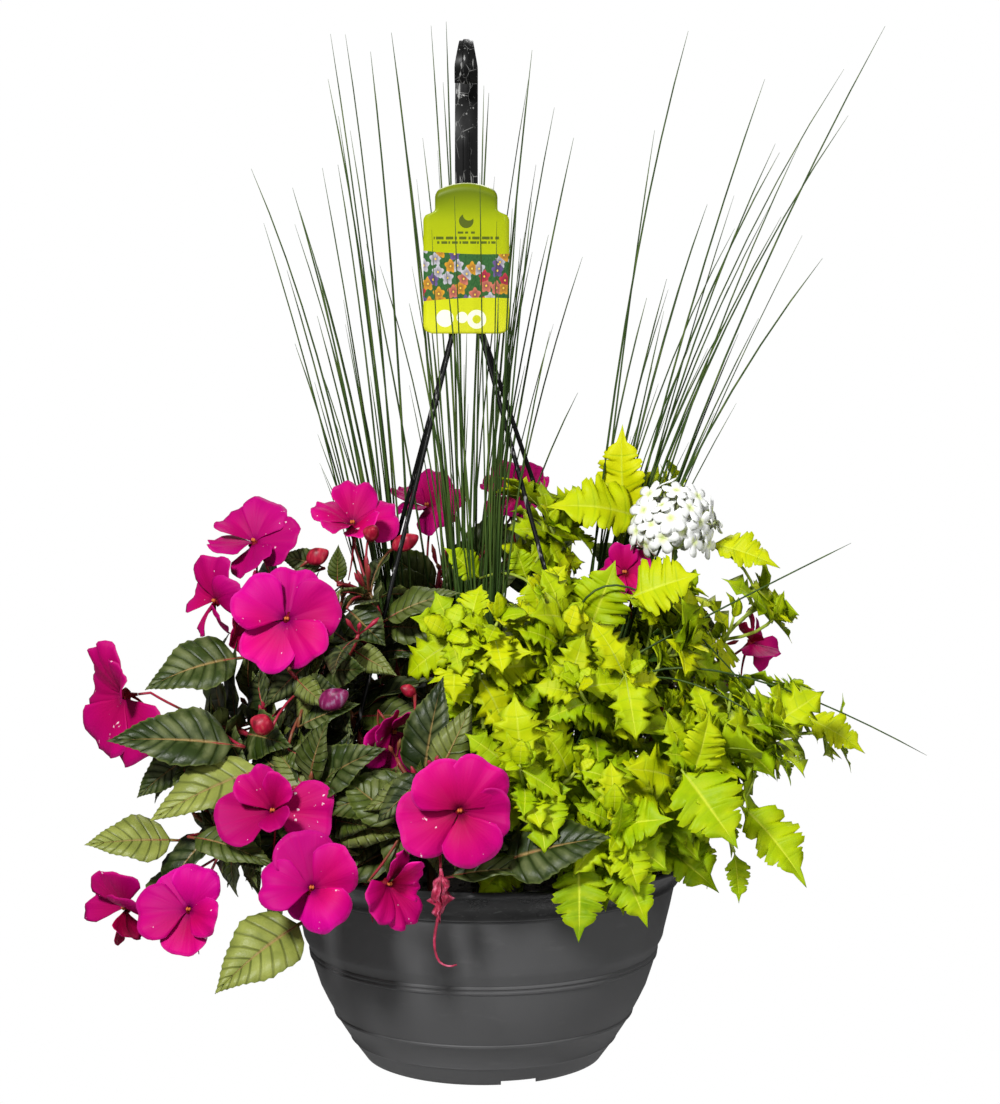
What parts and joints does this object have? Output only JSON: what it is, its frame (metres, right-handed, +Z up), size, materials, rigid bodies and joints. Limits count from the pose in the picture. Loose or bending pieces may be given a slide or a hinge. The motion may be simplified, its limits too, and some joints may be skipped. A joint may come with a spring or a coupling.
{
  "type": "mixed hanging basket",
  "caption": "Hanging pot on a hook with four strands and a card tag, planted with rushes, impatiens, coleus and verbena.",
  "frame": {"origin": "where the inside of the hook's crook bears on the bar that it hangs from", "axes": "+Z up along the hanger, -Y towards the side that is seen first, +X to its right"},
  "size_m": [0.5975, 0.4229, 0.766],
  "materials": {
    "pot_plastic": "matt moulded",
    "hanger_plastic": "semi-gloss moulded",
    "potting_mix": "rough crumbs",
    "lime_card": "coated card",
    "rush_green": "satin blade",
    "leaf_green": "satin leaf",
    "lime_leaf": "soft leaf",
    "magenta_petal": "velvet petal",
    "spent_petal": "wilted petal",
    "white_petal": "soft petal",
    "stem_green": "satin stem"
  },
  "bodies": {
    "root": {"bloom_back": "magenta_petal", "bloom_back_left": "magenta_petal", "bloom_behind": "magenta_petal", "bloom_behind_right": "magenta_petal", "bloom_big": "magenta_petal", "bloom_far_left": "magenta_petal", "bloom_far_right": "magenta_petal", "bloom_folded_front": "magenta_petal", "bloom_front": "magenta_petal", "bloom_hanging": "magenta_petal", "bloom_left_dark": "magenta_petal", "bloom_low_left": "magenta_petal", "bloom_lower_left": "magenta_petal", "bloom_lowest_left": "magenta_petal", "bloom_rim": "magenta_petal", "bloom_top": "magenta_petal", "bloom_top_left": "magenta_petal", "bloom_under_verbena": "magenta_petal", "coleus_1": "lime_leaf", "coleus_10": "lime_leaf", "coleus_11": "lime_leaf", "coleus_12": "lime_leaf", "coleus_13": "lime_leaf", "coleus_14": "lime_leaf", "coleus_2": "lime_leaf", "coleus_3": "lime_leaf", "coleus_4": "lime_leaf", "coleus_5": "lime_leaf", "coleus_6": "lime_leaf", "coleus_7": "lime_leaf", "coleus_8": "lime_leaf", "coleus_9": "lime_leaf", "hook": "hanger_plastic", "impatiens_1": "leaf_green", "impatiens_10": "leaf_green", "impatiens_11": "leaf_green", "impatiens_2": "leaf_green", "impatiens_3": "leaf_green", "impatiens_4": "leaf_green", "impatiens_5": "leaf_green", "impatiens_6": "leaf_green", "impatiens_7": "leaf_green", "impatiens_8": "leaf_green", "impatiens_9": "leaf_green", "pot": "pot_plastic", "rushes_arching": "rush_green", "rushes_back": "rush_green", "rushes_front": "rush_green", "rushes_left": "rush_green", "rushes_right": "rush_green", "soil": "potting_mix", "spent_bloom": "spent_petal", "strand_back_left": "hanger_plastic", "strand_back_right": "hanger_plastic", "strand_front_left": "hanger_plastic", "strand_front_right": "hanger_plastic", "tag": "lime_card", "verbena_head": "white_petal", "verbena_stem": "stem_green"}
  },
  "joints": []
}
